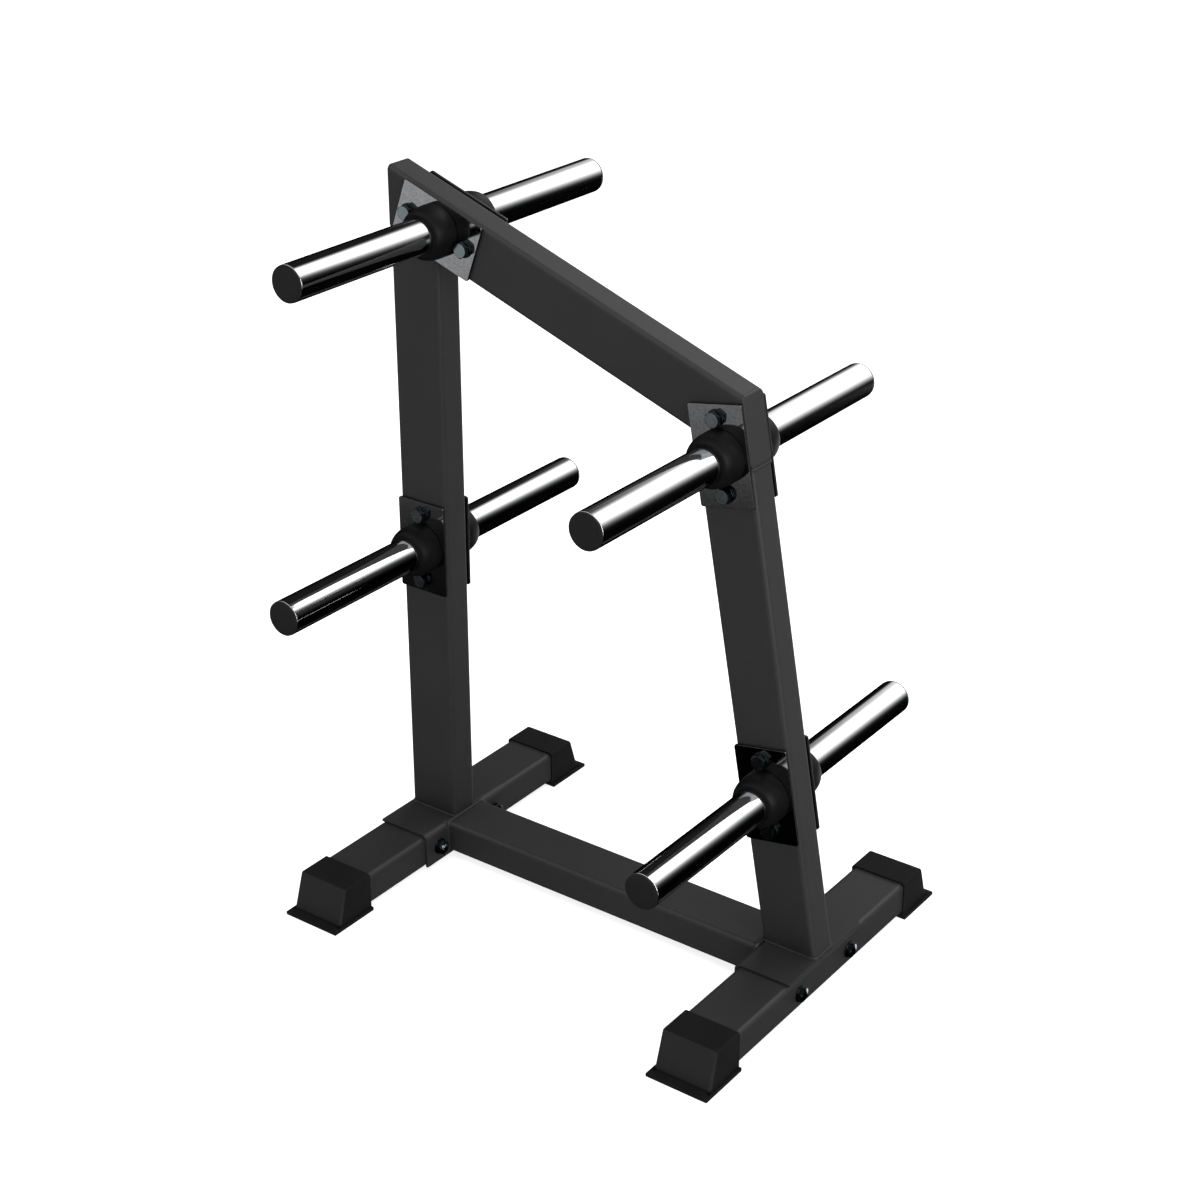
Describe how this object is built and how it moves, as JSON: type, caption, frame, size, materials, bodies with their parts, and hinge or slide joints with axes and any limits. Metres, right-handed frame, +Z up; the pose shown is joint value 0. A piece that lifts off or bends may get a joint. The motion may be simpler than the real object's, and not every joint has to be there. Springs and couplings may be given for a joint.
{
  "type": "weight plate rack",
  "caption": "Free-standing gym rack: leaning frame of rectangular tube on two footed base tubes, with horizontal chromed posts to the front and rear for weight plates.",
  "frame": {"origin": "on the floor, under the middle of the rack's overall length and depth", "axes": "+X along the frame from its tall upright to its leaning upright, +Y to the rear along the posts, +Z up"},
  "size_m": [0.7116, 0.6112, 1.009],
  "materials": {
    "frame_paint": "matte black powder coat",
    "boot_rubber": "matte moulded rubber",
    "flange_plating": "bright plated plate, darker than the posts",
    "post_chrome": "polished chrome",
    "collar_rubber": "satin black moulded bumper",
    "cap_plastic": "moulded end cap",
    "bolt_zinc": "zinc plated"
  },
  "bodies": {
    "root": {"left_upright": "frame_paint", "right_upright": "frame_paint", "top_beam": "frame_paint", "beam_plate_left": "frame_paint", "beam_plate_right": "frame_paint", "left_base_tube": "frame_paint", "left_saddle": "frame_paint", "right_base_tube": "frame_paint", "right_saddle": "frame_paint", "cross_rail": "frame_paint", "boot_left_front": "boot_rubber", "boot_left_rear": "boot_rubber", "boot_right_front": "boot_rubber", "boot_right_rear": "boot_rubber", "flange_upper_left_front": "flange_plating", "post_upper_left_front": "post_chrome", "collar_upper_left_front": "collar_rubber", "cap_upper_left_front": "cap_plastic", "flange_upper_left_rear": "flange_plating", "post_upper_left_rear": "post_chrome", "collar_upper_left_rear": "collar_rubber", "cap_upper_left_rear": "cap_plastic", "flange_mid_left_front": "flange_plating", "post_mid_left_front": "post_chrome", "collar_mid_left_front": "collar_rubber", "cap_mid_left_front": "cap_plastic", "flange_mid_left_rear": "flange_plating", "post_mid_left_rear": "post_chrome", "collar_mid_left_rear": "collar_rubber", "cap_mid_left_rear": "cap_plastic", "flange_upper_right_front": "flange_plating", "post_upper_right_front": "post_chrome", "collar_upper_right_front": "collar_rubber", "cap_upper_right_front": "cap_plastic", "flange_upper_right_rear": "flange_plating", "post_upper_right_rear": "post_chrome", "collar_upper_right_rear": "collar_rubber", "cap_upper_right_rear": "cap_plastic", "flange_low_right_front": "flange_plating", "post_low_right_front": "post_chrome", "collar_low_right_front": "collar_rubber", "cap_low_right_front": "cap_plastic", "flange_low_right_rear": "flange_plating", "post_low_right_rear": "post_chrome", "collar_low_right_rear": "collar_rubber", "cap_low_right_rear": "cap_plastic", "bolt_upper_left_a": "bolt_zinc", "bolt_upper_left_b": "bolt_zinc", "bolt_mid_left_a": "bolt_zinc", "bolt_mid_left_b": "bolt_zinc", "bolt_upper_right_a": "bolt_zinc", "bolt_upper_right_b": "bolt_zinc", "bolt_low_right_a": "bolt_zinc", "bolt_low_right_b": "bolt_zinc", "bolt_left_base_front": "bolt_zinc", "bolt_left_base_rear": "bolt_zinc", "bolt_right_base_front": "bolt_zinc", "bolt_right_base_rear": "bolt_zinc"}
  },
  "joints": []
}
